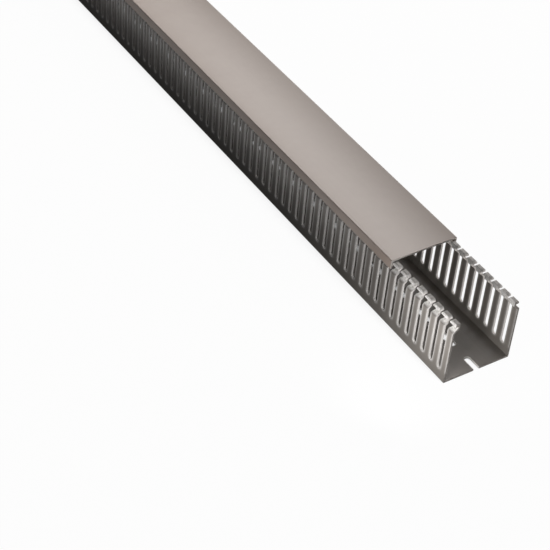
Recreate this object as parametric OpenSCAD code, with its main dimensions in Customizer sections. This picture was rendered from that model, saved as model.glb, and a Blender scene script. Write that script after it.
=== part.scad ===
/* [Duct] */
// Length of the duct, a length that it is sold in
duct_len = 1000; // [300:50:2000]
// Width over the two walls
duct_w = 75; // [50:1:120]
// Height from the underside to the top of the cover
duct_h = 72; // [50:1:120]
// Thickness of the walls
wall_t = 2; // [1.5:0.1:2.4]
// Thickness of the base
base_t = 2; // [1.5:0.1:3]
// Radius of the two lower outer edges
edge_r = 0.8; // [0.4:0.1:1.4]

/* [Wall slots] */
// Distance from one slot to the next
slot_pitch = 12.5; // [10:0.5:20]
// Width of a slot, up to the bend
slot_w = 5; // [3:0.5:6]
// Width of a slot between two necks, under the snap heads
eye_w = 7.5; // [6:0.1:8.5]
// Width of the mouth between two snap heads
mouth_w = 2.6; // [2:0.1:3]
// Height of the lowest point of a slot above the underside
slot_low = 11; // [6:0.5:20]
// Width of the finger at the open end
end_finger_w = 7.5; // [5:0.5:12]
// Radius of the corners of a slot between two necks
eye_r = 1.8; // [0.5:0.1:2]

/* [Snap heads] */
// Height of the snap head and its shoulder, from the bend to the top of the cover
bend_drop = 12; // [10:0.5:16]
// How far the neck stands in from the face of the wall
neck_in = 4.9; // [4:0.1:6]
// Height of the head above the neck
head_h = 3.1; // [2.6:0.1:4]
// How far the lip that holds the cover stands in from the face of the wall
lip_in = 2.1; // [1.9:0.1:2.4]
// Radius of the upper corners of each head, seen from the side
head_corner_r = 2.7; // [0.5:0.1:3]
// Radius of the rounded top of the lip
lip_r = 2.2; // [0.6:0.1:2.5]

/* [Cover] */
// Length of the cover
cover_len = 1000; // [300:50:2000]
// Thickness of the cover's top
cover_t = 1.8; // [1.2:0.1:2.4]
// Thickness of the cover's side flanges
flange_t = 1.5; // [1.2:0.1:1.8]
// Height of the side flanges, over the top
flange_h = 10; // [8.5:0.1:11]
// Radius of the cover's two upper edges
cover_r = 1; // [0.4:0.1:1.4]
// Reach of the hook inside each flange
hook_reach = 1.2; // [0.8:0.1:1.5]
// Height of the hook inside each flange
hook_h = 2.2; // [1.5:0.1:2.6]
// Gap between the cover and the snap heads
cover_gap = 0.3; // [0.2:0.05:0.4]
// How far the cover is slid back from the open end
cover_back = 96; // [0:2:250]

/* [Mounting slots] */
// Width of a mounting slot in the base
fix_w = 6.5; // [4:0.5:8]
// Length of a mounting slot over its round ends
fix_len = 20; // [12:1:30]
// Distance from one mounting slot to the next
fix_pitch = 37.5; // [32:0.5:60]
// Distance from the open end to the middle of the slot that the end cuts through
fix_first = 6.25; // [0:0.25:8]

/* [Hidden] */
$fn = 48;

wall_y = duct_w / 2;
inner_y = wall_y - wall_t;

// Mounting slots behind the one that the open end cuts through
fix_count = floor((duct_len - fix_first - fix_len / 2 - fix_w / 2) / fix_pitch);
// The origin is on the underside, at the middle of the row of mounting slots
front_x = fix_first + fix_pitch * (fix_count + 1) / 2;

// Heights and places in the section of a snap head
head_top_z = duct_h - cover_t - cover_gap;
bend_z = duct_h - bend_drop;
neck_y = wall_y - neck_in;
lip_z = head_top_z - head_h;
lip_y = wall_y - lip_in;
inner_neck_y = neck_y - wall_t;
// The shoulder is as thick as the wall, so its inner bend lies lower than its outer one
inner_bend_z = bend_z - wall_t * tan(22.5);

// Wall slots: as many whole pitches as fit between the open end and the far end
first_slot_x = front_x - end_finger_w - slot_w / 2;
slot_count = floor((duct_len - 2 * end_finger_w - slot_w) / slot_pitch) + 1;
// A slot widens halfway up the shoulder and stays wide up to the heads' underside
eye_low_z = bend_z + 0.35 * neck_in;
eye_high_z = lip_z;
eye_corner = min(eye_r, (eye_high_z - eye_low_z) / 2.2);

// Section of the cover
flange_y = wall_y - flange_t;
flange_low_z = duct_h - flange_h;
hook_top_z = lip_z - cover_gap;
hook_y = flange_y - hook_reach;

// Cuts run past the faces that they go through
past = 1;

// One half of the duct's section, on the side where y is above zero
module duct_half_section() {
    difference() {
        polygon([
            [0, 0], [wall_y, 0],
            [wall_y, bend_z],
            [neck_y, bend_z + neck_in],
            [neck_y, lip_z - 0.4],
            [lip_y, lip_z],
            [lip_y, head_top_z],
            [inner_neck_y, head_top_z],
            [inner_neck_y, inner_bend_z + neck_in],
            [inner_y, inner_bend_z],
            [inner_y, base_t],
            [0, base_t]
        ]);
        outer_corner(wall_y, 0, edge_r, 1, -1);
        outer_corner(lip_y, head_top_z, lip_r, 1, 1);
        outer_corner(inner_neck_y, head_top_z, lip_r / 4, -1, 1);
    }
}

// Waste outside a rounded corner at (y, z), whose solid lies opposite to the given side
module outer_corner(y, z, r, side_y, side_z) {
    translate([y - side_y * r, z - side_z * r])
        difference() {
            translate([side_y > 0 ? 0 : -r - past, side_z > 0 ? 0 : -r - past])
                square(r + past);
            circle(r);
        }
}

// Outline of one wall slot, seen from the side, with its mouth between two heads
module wall_slot_outline() {
    low_z = slot_low + slot_w / 2;
    translate([0, low_z])
        circle(d = slot_w);
    translate([-slot_w / 2, low_z])
        square([slot_w, (eye_low_z + eye_high_z) / 2 - low_z]);
    slot_eye();
    translate([-mouth_w / 2, low_z])
        square([mouth_w, head_top_z + past - low_z]);
    mouth_flare();
}

// The wide part of a slot, which leaves a narrow neck on each side of it
module slot_eye() {
    for (side = [-1, 1])
        for (z = [eye_low_z + eye_corner, eye_high_z - eye_corner])
            translate([side * (eye_w / 2 - eye_corner), z])
                circle(eye_corner);
    translate([-eye_w / 2, eye_low_z + eye_corner])
        square([eye_w, eye_high_z - eye_low_z - 2 * eye_corner]);
    translate([-eye_w / 2 + eye_corner, eye_low_z])
        square([eye_w - 2 * eye_corner, eye_high_z - eye_low_z]);
}

// Waste at the top of a mouth, which leaves the heads with round upper corners
module mouth_flare() {
    flare_z = head_top_z - head_corner_r;
    difference() {
        translate([-mouth_w / 2 - head_corner_r, flare_z])
            square([mouth_w + 2 * head_corner_r, head_corner_r + past]);
        for (side = [-1, 1])
            translate([side * (mouth_w / 2 + head_corner_r), flare_z])
                circle(head_corner_r);
    }
}

// Outline of one mounting slot in the base, its length along the duct
module mounting_slot_outline() {
    half = (fix_len - fix_w) / 2;
    translate([-half, -fix_w / 2])
        square([2 * half, fix_w]);
    for (side = [-1, 1])
        translate([side * half, 0])
            circle(d = fix_w);
}

// Sets a section drawn as (y, z) upright and runs it along the duct, back from x_end
module run_along(x_end, length) {
    translate([x_end - length, 0, 0])
        rotate([90, 0, 90])
            linear_extrude(length)
                children();
}

// The duct: one extrusion with slots punched through both walls and the base
module slotted_duct() {
    color("#8a8682")
        difference() {
            run_along(front_x, duct_len) {
                duct_half_section();
                mirror([1, 0])
                    duct_half_section();
            }
            for (i = [0 : slot_count - 1])
                translate([first_slot_x - i * slot_pitch, wall_y + past, 0])
                    rotate([90, 0, 0])
                        linear_extrude(duct_w + 2 * past)
                            wall_slot_outline();
            for (i = [0 : fix_count])
                translate([front_x - fix_first - i * fix_pitch, 0, -past])
                    linear_extrude(base_t + 2 * past)
                        mounting_slot_outline();
        }
}

// One half of the cover's section: top, flange and hook
module cover_half_section() {
    difference() {
        polygon([
            [0, duct_h - cover_t],
            [flange_y, duct_h - cover_t],
            [flange_y, hook_top_z],
            [hook_y, hook_top_z - 0.4],
            [hook_y, hook_top_z - hook_h / 2],
            [flange_y, hook_top_z - hook_h],
            [flange_y, flange_low_z],
            [wall_y, flange_low_z],
            [wall_y, duct_h],
            [0, duct_h]
        ]);
        outer_corner(wall_y, duct_h, cover_r, 1, 1);
        outer_corner(wall_y, flange_low_z, flange_t / 3, 1, -1);
    }
}

// The cover: a flat lid whose hooks ride under the lips of the snap heads
module clip_on_cover() {
    color("#a8a09a")
        run_along(front_x - cover_back, cover_len) {
            cover_half_section();
            mirror([1, 0])
                cover_half_section();
        }
}

slotted_duct();
clip_on_cover();
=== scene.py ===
from math import radians

import bmesh
import bpy
from mathutils import Matrix, Vector

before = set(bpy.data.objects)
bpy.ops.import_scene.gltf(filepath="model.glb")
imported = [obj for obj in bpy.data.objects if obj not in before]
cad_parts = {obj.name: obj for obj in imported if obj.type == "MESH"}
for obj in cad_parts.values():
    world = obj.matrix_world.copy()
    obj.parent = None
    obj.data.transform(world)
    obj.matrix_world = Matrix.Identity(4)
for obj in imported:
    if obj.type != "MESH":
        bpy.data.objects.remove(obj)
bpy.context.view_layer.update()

print("loaded the packed duct and cover")

mm = 0.001


def linearColour(hexText):
    # an sRGB hex value, turned into what a shader takes
    parts = [int(hexText[i:i + 2], 16) / 255 for i in (1, 3, 5)]
    return [c / 12.92 if c <= 0.04045 else ((c + 0.055) / 1.055) ** 2.4 for c in parts] + [1.0]


def addNode(tree, kind, given=None):
    # one node: what is given as a node or a socket is linked, and anything else is set
    node = tree.nodes.new(kind)
    for key, value in (given or {}).items():
        if isinstance(value, bpy.types.Node):
            value = value.outputs[0]
        if isinstance(value, bpy.types.NodeSocket):
            tree.links.new(value, node.inputs[key])
        elif isinstance(key, int) or key in node.inputs:
            node.inputs[key].default_value = value
        else:
            setattr(node, key, value)
    return node


def newMaterial(name):
    material = bpy.data.materials.new(name)
    material.use_nodes = True
    material.node_tree.nodes.clear()
    return material, material.node_tree


# Camera: set from the photograph's perspective, with the duct running up to the left
cameraPlace = {
    "spot": (1.2725, -0.7836, 1.0100),
    "right": (0.53043, 0.84441, 0.07488),
    "down": (0.58264, -0.29898, -0.75574),
    "lens": 105.95,              # mm, for the frame width below
    "frameWidth": 36.0,
    "clip": (0.05, 60.0),        # metres
}


def addCamera(place):
    data = bpy.data.cameras.new("photoCamera")
    data.lens = place["lens"]
    data.sensor_width = place["frameWidth"]
    data.clip_start, data.clip_end = place["clip"]
    camera = bpy.data.objects.new("photoCamera", data)
    right = Vector(place["right"]).normalized()
    up = -Vector(place["down"]).normalized()
    back = right.cross(up)
    turn = Matrix((right, up, back)).transposed().to_4x4()
    camera.matrix_world = Matrix.Translation(place["spot"]) @ turn
    bpy.context.scene.collection.objects.link(camera)
    bpy.context.scene.camera = camera


addCamera(cameraPlace)
print("camera set")

# Both pieces are rigid PVC pushed through a die, which leaves a satin skin with faint long lines
pvc = {
    "ior": 1.53,
    "dieStretch": (0.004, 1.0, 1.0),   # a die line hardly changes along the length
    "dieDetail": 3.0,
    "dieRoughness": 0.6,
    "dieDepth": 0.02,                  # mm
    "mottleRoughness": 0.55,
    "bevelSamples": 6,
}


def extrudedSkin(tree, look):
    # places in millimetres, the die lines, the cloudy patches, and the colour that they give
    coords = addNode(tree, "ShaderNodeTexCoord")
    place = addNode(tree, "ShaderNodeVectorMath", {
        "operation": "SCALE", 0: coords.outputs["Object"], "Scale": 1 / mm})
    along = addNode(tree, "ShaderNodeVectorMath", {
        "operation": "MULTIPLY", 0: place, 1: pvc["dieStretch"]})
    lines = addNode(tree, "ShaderNodeTexNoise", {
        "Vector": along, "Scale": 1 / look["dieLine"],
        "Detail": pvc["dieDetail"], "Roughness": pvc["dieRoughness"]})
    clouds = addNode(tree, "ShaderNodeTexNoise", {
        "Vector": place, "Scale": 1 / look["mottle"],
        "Detail": look["mottleDetail"], "Roughness": pvc["mottleRoughness"]})
    tint = addNode(tree, "ShaderNodeMath", {
        "operation": "MULTIPLY_ADD", 0: lines, 1: look["lineShare"], 2: clouds})
    tone = addNode(tree, "ShaderNodeMapRange", {
        "Value": tint, "From Min": look["toneRange"][0], "From Max": look["toneRange"][1]})
    # the body tones carry painted light: the duct's are darker as painted shade, the cover's paler as
    # painted light
    bodyWithPaintedLight = addNode(tree, "ShaderNodeMix", {
        "data_type": "RGBA", 0: tone, 6: linearColour(look["bodyWithPaintedLight"]), 7: linearColour(look["lighterWithPaintedLight"])})
    rounded = addNode(tree, "ShaderNodeBevel", {
        "samples": pvc["bevelSamples"], "Radius": look["edgeRound"] * mm})
    return coords, place, lines, clouds, bodyWithPaintedLight, rounded


# The duct: stone grey, darker than the cover's same PVC as painted shade, and white where the punch sheared
# its slots and bent its heads.
# All lengths are in millimetres, and a white is a share from 0, plain skin, to 1, cutEdge.
duct = {
    "frontX": 512.5,             # the sawn, open end
    "backX": -487.5,
    "pitch": 12.5,               # one wall slot to the next
    "firstSlotX": 502.5,
    "slotHalf": 2.5,
    "mouthHalf": 1.3,
    "slotArcZ": 13.5,            # middle of a slot's round lower end
    "baseTopZ": 2.4,             # below here is the base
    "wallFootZ": 6.0,            # and above here the wall
    "bendZ": 60.0,               # the wall turns in here, towards its snap heads
    "eyeLowZ": 61.7,             # a slot is wider from here up to the heads, and leaves narrow necks
    "eyeFlare": (0.4, 1.2),      # it widens from this far below there to this far above
    "eyeHalf": 3.75,
    "headLowZ": 66.8,
    "headStep": 0.3,             # height in which a neck widens to its head
    "headSideZ": 67.4,           # above here everything belongs to a head
    "headTopZ": 69.9,
    "topSkin": (0.5, 0.3),       # how far under the top its plainer skin begins, and is whole
    "headCorner": 2.7,           # round upper corners beside each mouth
    "cornerPower": 3.0,          # how late that round sets in
    "headInnerY": 30.6,
    "fixPitch": 37.5,            # one mounting slot to the next
    "fixFirstX": 506.25,
    "fixStraight": 6.75,         # half of the straight part of a mounting slot
    "fixRadius": 3.25,
    "bodyWithPaintedLight": "#7a756f",           # warm stone grey; this and the lighter tone below are darker than the cover's same PVC: painted shade
    "lighterWithPaintedLight": "#87817b",
    "cutEdge": "#f3f0ec",        # PVC whitens where a punch shears it
    "sawnEnd": "#66615d",
    "sawMark": "#a19c97",
    "roughness": 0.42,
    "cutRoughness": 0.68,
    "dieLine": 0.55,             # between die lines
    "dieBump": 0.25,
    "lineShare": 0.35,           # of the die lines in the colour
    "mottle": 22.0,              # across the cloudy patches
    "mottleDetail": 3.0,
    "toneRange": (0.45, 0.9),    # of the patches, from body to lighter
    "edgeRound": 0.22,           # the small round that a sheared edge has
    "tear": 1.25,                # across the unevenness of a sheared face
    "tearNoise": (4.0, 0.7),     # its detail and roughness
    "tearReach": 0.9,            # how far that shifts the white, from furthest out to furthest in
    "tearBump": 0.6,
    "tearDepth": 0.25,
    "tearRange": (0.3, 0.6),     # of that unevenness, from least white to full
    "tearWhite": 0.75,           # least white that the unevenness leaves
    "rim": (0.1, 0.65),          # from a slot's edge, where it is whitest, and where that ends
    "rimWhite": 0.95,
    "strain": (0.2, 2.6),        # faint whitening further in
    "strainWhite": 0.3,
    "shearWhite": 0.7,           # on the faces inside the slots
    "bendFade": 2.2,             # height above the bend in which the white comes in
    "headWhite": 0.95,           # on the bent shoulder and the head
    "topWhite": 0.45,            # share of it that is left on top of the heads
    "blotch": 2.2,               # across the patches in it
    "blotchNoise": (3.0, 0.6),
    "blotchRange": (0.4, 0.6),
    "blotchWhite": 0.6,          # share of it that the darker patches keep
    "innerRim": (0.2, 1.0),      # from a head's inner edge
    "innerRimWhite": 0.8,
    "fixRim": (0.2, 0.9),        # from a mounting slot's edge
    "fixRimWhite": 0.75,
    "sideFace": (0.45, 0.6),     # a normal's share across the duct: less is inside a slot, more is skin
    "topFace": 0.25,             # a normal's share along the duct, below which a head's face is its top
    "endFace": 0.8,              # and above which a face is a sawn end
    "endDepth": 0.3,             # how near the end such a face lies
    "sawStretch": (1.0, 0.4, 2.5),   # the marks run across the duct
    "sawMarks": 0.7,             # to a millimetre
    "sawNoise": (4.0, 0.65),
}


def besideWallSlots(tree, look, x, z, ragged):
    # how far a place is from the edge of the nearest wall slot, from the pitch of the slots
    fromFirst = addNode(tree, "ShaderNodeMath", {"operation": "SUBTRACT", 0: x, 1: look["firstSlotX"]})
    across = addNode(tree, "ShaderNodeMath", {"operation": "PINGPONG", 0: fromFirst, 1: look["pitch"] / 2})
    overArc = addNode(tree, "ShaderNodeMath", {"operation": "SUBTRACT", 0: z, 1: look["slotArcZ"]})
    belowArc = addNode(tree, "ShaderNodeMath", {"operation": "MINIMUM", 0: overArc, 1: 0.0})
    reach = addNode(tree, "ShaderNodeCombineXYZ", {0: across, 1: belowArc})
    fromMiddle = addNode(tree, "ShaderNodeVectorMath", {"operation": "LENGTH", 0: reach})
    widened = addNode(tree, "ShaderNodeMapRange", {
        "interpolation_type": "SMOOTHSTEP", "Value": z,
        "From Min": look["eyeLowZ"] - look["eyeFlare"][0], "From Max": look["eyeLowZ"] + look["eyeFlare"][1],
        "To Min": look["slotHalf"], "To Max": look["eyeHalf"]})
    underHead = addNode(tree, "ShaderNodeMapRange", {
        "Value": z, "From Min": look["headLowZ"] - look["headStep"], "From Max": look["headLowZ"],
        "To Min": 0.0, "To Max": look["eyeHalf"] - look["mouthHalf"]})
    slotHalf = addNode(tree, "ShaderNodeMath", {"operation": "SUBTRACT", 0: widened, 1: underHead})
    upRound = addNode(tree, "ShaderNodeMapRange", {
        "Value": z, "From Min": look["headTopZ"] - look["headCorner"], "From Max": look["headTopZ"]})
    roundOff = addNode(tree, "ShaderNodeMath", {"operation": "POWER", 0: upRound, 1: look["cornerPower"]})
    beside = addNode(tree, "ShaderNodeMath", {
        "operation": "SUBTRACT", 0: fromMiddle.outputs["Value"], 1: slotHalf})
    besideRound = addNode(tree, "ShaderNodeMath", {
        "operation": "MULTIPLY_ADD", 0: roundOff, 1: look["headCorner"], 2: beside})
    fromEdge = addNode(tree, "ShaderNodeMath", {"operation": "ADD", 0: besideRound, 1: ragged})

    # a white rim at that edge, and fainter strain further in
    rim = addNode(tree, "ShaderNodeMapRange", {
        "interpolation_type": "SMOOTHSTEP", "Value": fromEdge,
        "From Min": look["rim"][0], "From Max": look["rim"][1], "To Min": look["rimWhite"], "To Max": 0.0})
    strain = addNode(tree, "ShaderNodeMapRange", {
        "interpolation_type": "SMOOTHSTEP", "Value": fromEdge,
        "From Min": look["strain"][0], "From Max": look["strain"][1],
        "To Min": look["strainWhite"], "To Max": 0.0})
    return addNode(tree, "ShaderNodeMath", {"operation": "MAXIMUM", 0: rim, 1: strain})


def onSnapHeads(tree, look, place, y, z, ragged, onHead):
    # the bent shoulder and the heads whiten as a whole, with plainer skin left on the heads' top
    bent = addNode(tree, "ShaderNodeMapRange", {
        "interpolation_type": "SMOOTHSTEP", "Value": z,
        "From Min": look["bendZ"], "From Max": look["bendZ"] + look["bendFade"],
        "To Min": 0.0, "To Max": look["headWhite"]})
    highUp = addNode(tree, "ShaderNodeMapRange", {
        "Value": z, "From Min": look["headTopZ"] - look["topSkin"][0],
        "From Max": look["headTopZ"] - look["topSkin"][1], "To Min": 1.0, "To Max": look["topWhite"]})
    blotch = addNode(tree, "ShaderNodeTexNoise", {
        "Vector": place, "Scale": 1 / look["blotch"],
        "Detail": look["blotchNoise"][0], "Roughness": look["blotchNoise"][1]})
    patchy = addNode(tree, "ShaderNodeMapRange", {
        "Value": blotch, "From Min": look["blotchRange"][0], "From Max": look["blotchRange"][1],
        "To Min": look["blotchWhite"], "To Max": 1.0})
    headSkin = addNode(tree, "ShaderNodeMath", {"operation": "MULTIPLY", 0: bent, 1: highUp})
    head = addNode(tree, "ShaderNodeMath", {"operation": "MULTIPLY", 0: headSkin, 1: patchy})

    # their inner edge is sheared too
    sideways = addNode(tree, "ShaderNodeMath", {"operation": "ABSOLUTE", 0: y})
    inward = addNode(tree, "ShaderNodeMath", {"operation": "SUBTRACT", 0: sideways, 1: look["headInnerY"]})
    inwardRagged = addNode(tree, "ShaderNodeMath", {"operation": "ADD", 0: inward, 1: ragged})
    innerRim = addNode(tree, "ShaderNodeMapRange", {
        "interpolation_type": "SMOOTHSTEP", "Value": inwardRagged,
        "From Min": look["innerRim"][0], "From Max": look["innerRim"][1],
        "To Min": look["innerRimWhite"], "To Max": 0.0})
    headRim = addNode(tree, "ShaderNodeMath", {"operation": "MULTIPLY", 0: innerRim, 1: onHead})
    return addNode(tree, "ShaderNodeMath", {"operation": "MAXIMUM", 0: head, 1: headRim})


def insideSlots(tree, look, facing, onHead):
    # the faces inside the slots and mouths are all sheared, and the heads' top is not
    endways = addNode(tree, "ShaderNodeMapRange", {
        "interpolation_type": "SMOOTHSTEP", "Value": facing.outputs["Y"],
        "From Min": look["sideFace"][0], "From Max": look["sideFace"][1], "To Min": 1.0, "To Max": 0.0})
    topSkin = addNode(tree, "ShaderNodeMath", {
        "operation": "LESS_THAN", 0: facing.outputs["X"], 1: look["topFace"]})
    cappedTop = addNode(tree, "ShaderNodeMath", {"operation": "MULTIPLY", 0: topSkin, 1: onHead})
    return addNode(tree, "ShaderNodeMath", {
        "operation": "SUBTRACT", 0: endways, 1: cappedTop, "use_clamp": True})


def besideMountingSlots(tree, look, x, y, ragged):
    # the mounting slots in the base whiten as the wall slots do
    fromFix = addNode(tree, "ShaderNodeMath", {"operation": "SUBTRACT", 0: x, 1: look["fixFirstX"]})
    across = addNode(tree, "ShaderNodeMath", {"operation": "PINGPONG", 0: fromFix, 1: look["fixPitch"] / 2})
    pastStraight = addNode(tree, "ShaderNodeMath", {
        "operation": "SUBTRACT", 0: across, 1: look["fixStraight"]})
    roundEnd = addNode(tree, "ShaderNodeMath", {"operation": "MAXIMUM", 0: pastStraight, 1: 0.0})
    reach = addNode(tree, "ShaderNodeCombineXYZ", {0: roundEnd, 1: y})
    fromAxis = addNode(tree, "ShaderNodeVectorMath", {"operation": "LENGTH", 0: reach})
    fromAxisRagged = addNode(tree, "ShaderNodeMath", {
        "operation": "ADD", 0: fromAxis.outputs["Value"], 1: ragged})
    return addNode(tree, "ShaderNodeMapRange", {
        "interpolation_type": "SMOOTHSTEP", "Value": fromAxisRagged,
        "From Min": look["fixRadius"] + look["fixRim"][0], "From Max": look["fixRadius"] + look["fixRim"][1],
        "To Min": look["fixRimWhite"], "To Max": 0.0})


def onSawnEnds(tree, look, x, facing):
    # the two faces that the saw left
    middleX = (look["frontX"] + look["backX"]) / 2
    halfLength = (look["frontX"] - look["backX"]) / 2
    fromMiddle = addNode(tree, "ShaderNodeMath", {"operation": "SUBTRACT", 0: x, 1: middleX})
    endward = addNode(tree, "ShaderNodeMath", {"operation": "ABSOLUTE", 0: fromMiddle})
    atEnd = addNode(tree, "ShaderNodeMath", {
        "operation": "GREATER_THAN", 0: endward, 1: halfLength - look["endDepth"]})
    square = addNode(tree, "ShaderNodeMath", {
        "operation": "GREATER_THAN", 0: facing.outputs["X"], 1: look["endFace"]})
    return addNode(tree, "ShaderNodeMath", {"operation": "MULTIPLY", 0: atEnd, 1: square})


def ductMaterial(look):
    material, tree = newMaterial("rigidPvcPunchedDuct")
    coords, place, lines, clouds, bodyWithPaintedLight, rounded = extrudedSkin(tree, look)
    x, y, z = addNode(tree, "ShaderNodeSeparateXYZ", {0: place}).outputs
    turned = addNode(tree, "ShaderNodeVectorMath", {"operation": "ABSOLUTE", 0: coords.outputs["Normal"]})
    facing = addNode(tree, "ShaderNodeSeparateXYZ", {0: turned})

    # where the punch's edge wanders a little
    wander = addNode(tree, "ShaderNodeTexNoise", {
        "Vector": place, "Scale": 1 / look["tear"],
        "Detail": look["tearNoise"][0], "Roughness": look["tearNoise"][1]})
    ragged = addNode(tree, "ShaderNodeMath", {
        "operation": "MULTIPLY_ADD", 0: wander, 1: look["tearReach"], 2: -look["tearReach"] / 2})

    # the whitened walls
    onHead = addNode(tree, "ShaderNodeMath", {"operation": "GREATER_THAN", 0: z, 1: look["headSideZ"]})
    atEdge = besideWallSlots(tree, look, x, z, ragged)
    upThere = onSnapHeads(tree, look, place, y, z, ragged, onHead)
    sheared = insideSlots(tree, look, facing, onHead)
    besideSlot = addNode(tree, "ShaderNodeMix", {
        "data_type": "FLOAT", 0: sheared, 2: atEdge, 3: look["shearWhite"]})
    wallWorn = addNode(tree, "ShaderNodeMath", {"operation": "MAXIMUM", 0: besideSlot, 1: upThere})
    onWall = addNode(tree, "ShaderNodeMath", {"operation": "GREATER_THAN", 0: z, 1: look["wallFootZ"]})
    wallWhite = addNode(tree, "ShaderNodeMath", {"operation": "MULTIPLY", 0: wallWorn, 1: onWall})

    # the whitened base
    fixRim = besideMountingSlots(tree, look, x, y, ragged)
    onBase = addNode(tree, "ShaderNodeMath", {"operation": "LESS_THAN", 0: z, 1: look["baseTopZ"]})
    baseWhite = addNode(tree, "ShaderNodeMath", {"operation": "MULTIPLY", 0: fixRim, 1: onBase})

    # shearing leaves the white uneven
    uneven = addNode(tree, "ShaderNodeMapRange", {
        "Value": wander, "From Min": look["tearRange"][0], "From Max": look["tearRange"][1],
        "To Min": look["tearWhite"], "To Max": 1.0})
    anyWhite = addNode(tree, "ShaderNodeMath", {"operation": "MAXIMUM", 0: wallWhite, 1: baseWhite})
    white = addNode(tree, "ShaderNodeMath", {"operation": "MULTIPLY", 0: anyWhite, 1: uneven})
    colour = addNode(tree, "ShaderNodeMix", {
        "data_type": "RGBA", 0: white, 6: bodyWithPaintedLight.outputs[2], 7: linearColour(look["cutEdge"])})

    # the sawn ends, with the marks of the saw
    sawn = onSawnEnds(tree, look, x, facing)
    teeth = addNode(tree, "ShaderNodeVectorMath", {
        "operation": "MULTIPLY", 0: place, 1: look["sawStretch"]})
    marks = addNode(tree, "ShaderNodeTexNoise", {
        "Vector": teeth, "Scale": look["sawMarks"],
        "Detail": look["sawNoise"][0], "Roughness": look["sawNoise"][1]})
    endTone = addNode(tree, "ShaderNodeMix", {
        "data_type": "RGBA", 0: marks, 6: linearColour(look["sawnEnd"]), 7: linearColour(look["sawMark"])})
    skin = addNode(tree, "ShaderNodeMix", {
        "data_type": "RGBA", 0: sawn, 6: colour.outputs[2], 7: endTone.outputs[2]})

    # a sheared face is duller and rougher than the extruded skin
    dull = addNode(tree, "ShaderNodeMapRange", {
        "Value": white, "To Min": look["roughness"], "To Max": look["cutRoughness"]})
    relief = addNode(tree, "ShaderNodeBump", {
        "Strength": look["dieBump"], "Distance": pvc["dieDepth"] * mm, "Height": lines, "Normal": rounded})
    cutOrSawn = addNode(tree, "ShaderNodeMath", {"operation": "MAXIMUM", 0: white, 1: sawn})
    shear = addNode(tree, "ShaderNodeMath", {"operation": "MULTIPLY", 0: wander, 1: cutOrSawn})
    torn = addNode(tree, "ShaderNodeBump", {
        "Strength": look["tearBump"], "Distance": look["tearDepth"] * mm, "Height": shear, "Normal": relief})
    shader = addNode(tree, "ShaderNodeBsdfPrincipled", {
        "IOR": pvc["ior"], "Metallic": 0.0, "Base Color": skin.outputs[2],
        "Roughness": dull, "Normal": torn})
    addNode(tree, "ShaderNodeOutputMaterial", {"Surface": shader})
    return material


# The cover: the same PVC, a little warmer, with a smoother skin; its colours are paler than the duct's as
# painted light. Lengths are in millimetres.
cover = {
    # both tones are paler than the duct's same PVC: painted light
    "bodyWithPaintedLight": "#b09f94",
    "lighterWithPaintedLight": "#b8a99e",
    "sawnEnd": "#c4beb8",
    "roughness": (0.33, 0.41),   # it changes with the cloudy patches
    "dieLine": 0.8,
    "dieBump": 0.2,
    "lineShare": 0.3,
    "mottle": 35.0,
    "mottleDetail": 4.0,
    "toneRange": (0.45, 0.85),   # of the patches, from body to lighter
    "edgeRound": 0.3,
    "dish": 0.0026,              # times the square of y: the flat lid is shaded as if it sank in its middle
}


def coverMaterial(look):
    material, tree = newMaterial("rigidPvcSatinCover")
    coords, place, lines, clouds, bodyWithPaintedLight, rounded = extrudedSkin(tree, look)
    xyz = addNode(tree, "ShaderNodeSeparateXYZ", {0: place})
    facing = addNode(tree, "ShaderNodeSeparateXYZ", {0: coords.outputs["Normal"]})
    lengthways = addNode(tree, "ShaderNodeMath", {"operation": "ABSOLUTE", 0: facing.outputs["X"]})
    skin = addNode(tree, "ShaderNodeMix", {
        "data_type": "RGBA", 0: lengthways, 6: bodyWithPaintedLight.outputs[2], 7: linearColour(look["sawnEnd"])})
    bow = addNode(tree, "ShaderNodeMath", {
        "operation": "MULTIPLY", 0: xyz.outputs["Y"], 1: xyz.outputs["Y"]})
    sunk = addNode(tree, "ShaderNodeBump", {
        "Strength": 1.0, "Distance": look["dish"] * mm, "Height": bow, "Normal": rounded})
    relief = addNode(tree, "ShaderNodeBump", {
        "Strength": look["dieBump"], "Distance": pvc["dieDepth"] * mm, "Height": lines, "Normal": sunk})
    satin = addNode(tree, "ShaderNodeMapRange", {
        "Value": clouds, "To Min": look["roughness"][0], "To Max": look["roughness"][1]})
    shader = addNode(tree, "ShaderNodeBsdfPrincipled", {
        "IOR": pvc["ior"], "Metallic": 0.0, "Base Color": skin.outputs[2],
        "Roughness": satin, "Normal": relief})
    addNode(tree, "ShaderNodeOutputMaterial", {"Surface": shader})
    return material


def dress(nodeName, material):
    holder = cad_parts[nodeName]
    holder.data.materials.clear()
    holder.data.materials.append(material)


dress("slotted_duct", ductMaterial(duct))
dress("clip_on_cover", coverMaterial(cover))
print("duct and cover have their PVC finishes")

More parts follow.
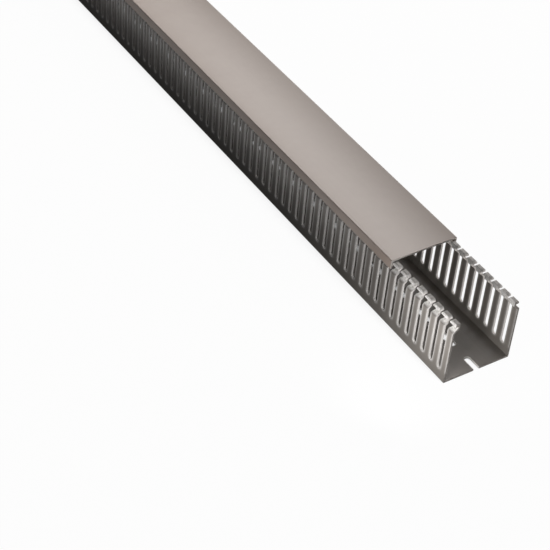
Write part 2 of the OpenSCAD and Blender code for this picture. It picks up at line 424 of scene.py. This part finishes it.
# Studio: a pale floor, two softboxes behind and above, and three small lamps close to the duct,
# beside its near wall, before its open end and beside its far wall. Lengths are in metres.
studio = {
    "floorSize": 14.0,
    "floorCells": 8,
    "floorPaint": "#f4f3f1",
    "floorBounce": "#4c4a48",    # what the floor gives back to the object
    "floorRoughness": 0.6,
    "floorGlow": 0.975,          # how much of the floor the camera sees as plain white
    "shadeReach": 0.2,           # how near something must be to shade that white
    "shadeRange": (0.05, 0.55),  # share of open sky: less is darkest, more is white
    "shadeLeast": 0.15,
    "shadeSamples": 16,
    "worldLight": 0.02,
    "sheenShare": 0.08,          # how much of the background's white a glossy surface reflects
    "lamps": [
        {"name": "wideSoftbox", "at": (-0.75, 0.95, 1.20), "aim": (0.1, 0.0, 0.05),
         "size": (1.6, 1.0), "watts": 20.5, "spread": 180.0, "tint": "#fffcfa"},
        {"name": "lowSoftbox", "at": (-0.75, 1.35, 0.95), "aim": (0.1, 0.0, 0.05),
         "size": (1.6, 0.7), "watts": 6.0, "spread": 180.0, "tint": "#fffcfa"},
        {"name": "nearSideStrip", "at": (-0.10, -0.0625, 0.056), "aim": (-0.10, -0.0375, 0.056),
         "size": (0.95, 0.012), "watts": 0.046, "spread": 180.0, "tint": "#f6faff"},
        {"name": "endFill", "at": (0.550, -0.160, 0.056), "aim": (0.475, -0.0375, 0.045),
         "size": (0.07, 0.024), "watts": 0.098, "spread": 100.0, "tint": "#fcfcfd"},
        {"name": "farSideStrip", "at": (0.66, 0.24, 0.022), "aim": (0.46, 0.03, 0.032),
         "size": (0.25, 0.03), "watts": 0.5, "spread": 180.0, "tint": "#fffcfa"},
    ],
}


def backgroundShare(tree, look):
    # 1 for what the camera sees, and a small share of it for what gloss or glass mirrors
    ray = addNode(tree, "ShaderNodeLightPath")
    mirrored = addNode(tree, "ShaderNodeMath", {
        "operation": "MAXIMUM", 0: ray.outputs["Is Glossy Ray"], 1: ray.outputs["Is Transmission Ray"]})
    reflected = addNode(tree, "ShaderNodeMath", {
        "operation": "MULTIPLY", 0: mirrored, 1: look["sheenShare"]})
    return addNode(tree, "ShaderNodeMath", {
        "operation": "MAXIMUM", 0: ray.outputs["Is Camera Ray"], 1: reflected})


def floorMaterial(look):
    material, tree = newMaterial("paleStudioFloor")
    seen = backgroundShare(tree, look)
    paint = addNode(tree, "ShaderNodeMix", {
        "data_type": "RGBA", 0: seen,
        6: linearColour(look["floorBounce"]), 7: linearColour(look["floorPaint"])})
    matt = addNode(tree, "ShaderNodeBsdfDiffuse", {
        "Color": paint.outputs[2], "Roughness": look["floorRoughness"]})

    # the floor stays dark where the duct closes it in, as under the mounting slots
    openSky = addNode(tree, "ShaderNodeAmbientOcclusion", {
        "samples": look["shadeSamples"], "Distance": look["shadeReach"]})
    shade = addNode(tree, "ShaderNodeMapRange", {
        "Value": openSky.outputs["AO"], "From Min": look["shadeRange"][0], "From Max": look["shadeRange"][1],
        "To Min": look["shadeLeast"], "To Max": 1.0})
    glow = addNode(tree, "ShaderNodeEmission", {"Color": (1, 1, 1, 1), "Strength": shade})
    share = addNode(tree, "ShaderNodeMath", {"operation": "MULTIPLY", 0: seen, 1: look["floorGlow"]})
    both = addNode(tree, "ShaderNodeMixShader", {0: share, 1: matt, 2: glow})
    addNode(tree, "ShaderNodeOutputMaterial", {"Surface": both})
    return material


def addFloor(look):
    shape = bmesh.new()
    bmesh.ops.create_grid(
        shape, x_segments=look["floorCells"], y_segments=look["floorCells"], size=look["floorSize"] / 2)
    mesh = bpy.data.meshes.new("studioFloor")
    shape.to_mesh(mesh)
    shape.free()
    mesh.materials.append(floorMaterial(look))
    floor = bpy.data.objects.new("studioFloor", mesh)
    bpy.context.scene.collection.objects.link(floor)


def addLamps(look):
    for lamp in look["lamps"]:
        data = bpy.data.lights.new(lamp["name"], "AREA")
        data.shape = "RECTANGLE"
        data.size, data.size_y = lamp["size"]
        data.energy = lamp["watts"]
        data.spread = radians(lamp["spread"])
        data.color = linearColour(lamp["tint"])[:3]
        light = bpy.data.objects.new(lamp["name"], data)
        light.visible_camera = False
        light.location = lamp["at"]
        towards = Vector(lamp["aim"]) - Vector(lamp["at"])
        light.rotation_euler = towards.to_track_quat("-Z", "Y").to_euler()
        bpy.context.scene.collection.objects.link(light)


def addWorld(look):
    world = bpy.data.worlds.new("studioWorld")
    world.use_nodes = True
    tree = world.node_tree
    tree.nodes.clear()
    level = addNode(tree, "ShaderNodeMapRange", {
        "Value": backgroundShare(tree, look), "To Min": look["worldLight"], "To Max": 1.0})
    sky = addNode(tree, "ShaderNodeBackground", {"Color": (1, 1, 1, 1), "Strength": level})
    addNode(tree, "ShaderNodeOutputWorld", {"Surface": sky})
    bpy.context.scene.world = world


addFloor(studio)
addLamps(studio)
addWorld(studio)
bpy.context.scene.view_settings.view_transform = "Standard"
print("studio set")
